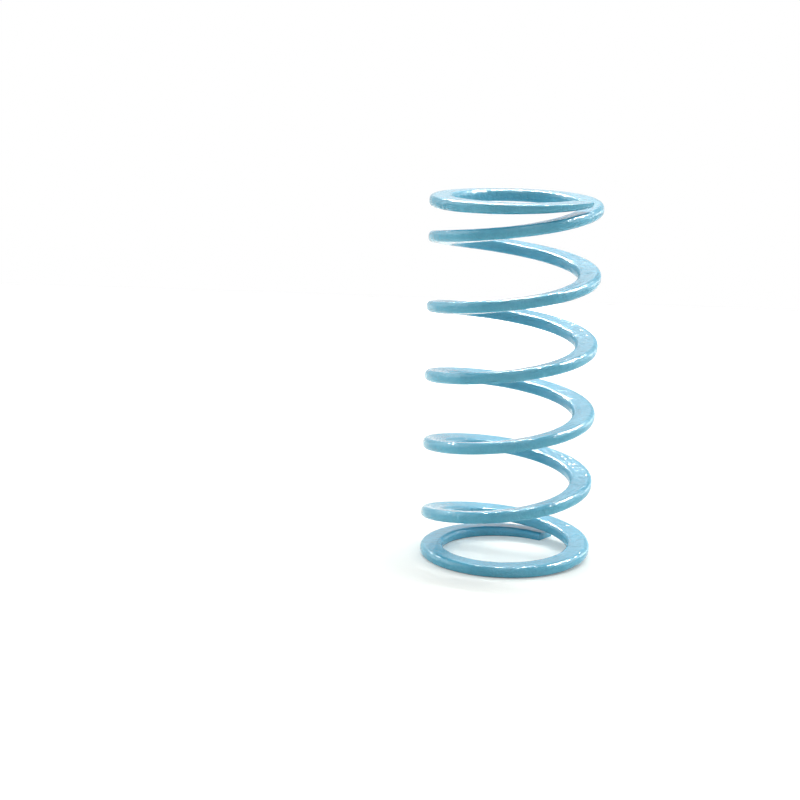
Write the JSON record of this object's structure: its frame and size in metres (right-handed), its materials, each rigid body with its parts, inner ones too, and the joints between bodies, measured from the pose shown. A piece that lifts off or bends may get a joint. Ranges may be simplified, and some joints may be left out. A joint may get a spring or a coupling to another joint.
{
  "type": "die spring",
  "caption": "Compression spring of painted flat wire, coiled right-handed, with closed ends that are ground flat.",
  "frame": {"origin": "centre of the bottom ground face, on the spring's axis", "axes": "+Z along the spring's axis, from the bottom ground face to the top one; +X to the right and -Y to the front as the spring stands"},
  "size_m": [0.03, 0.03, 0.064],
  "materials": {
    "painted_spring_steel": "semi-gloss light teal-blue enamel, slightly orange-peeled, all over the wire"
  },
  "bodies": {
    "root": {"spring": "painted_spring_steel"}
  },
  "joints": []
}
